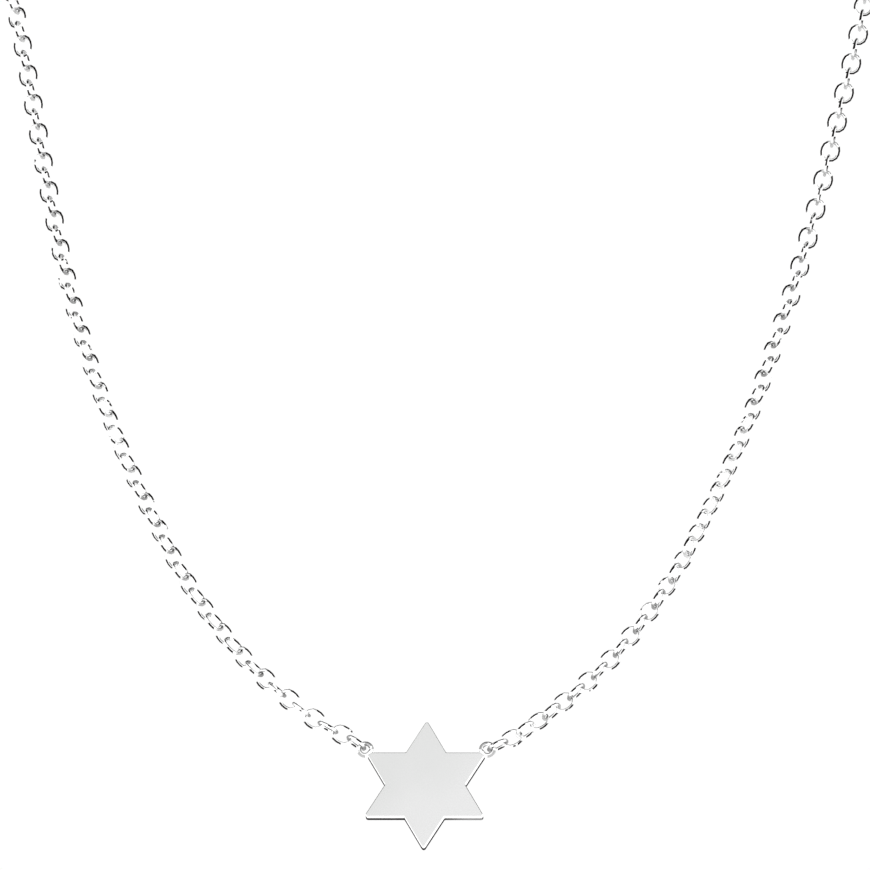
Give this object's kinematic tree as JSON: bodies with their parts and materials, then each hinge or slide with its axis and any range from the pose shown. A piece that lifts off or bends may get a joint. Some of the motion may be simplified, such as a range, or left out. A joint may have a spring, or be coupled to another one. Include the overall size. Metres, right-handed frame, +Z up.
{
  "type": "star of david pendant",
  "caption": "Flat polished silver star of david joined at its two upper points to a fine oval link chain, in the form it takes when worn.",
  "frame": {"origin": "the middle of the nape of the neck, at the back of the loop, where the clasp lies", "axes": "+Z is up, the star faces -Y, and +X is to the right of someone who looks at the star"},
  "size_m": [0.1017, 0.1004, 0.1158],
  "materials": {
    "star_silver": "polished silver",
    "chain_silver": "polished silver",
    "clasp_silver": "polished silver"
  },
  "bodies": {
    "root": {"star": "star_silver", "chain_left": "chain_silver", "chain_right": "chain_silver", "clasp": "clasp_silver"}
  },
  "joints": []
}
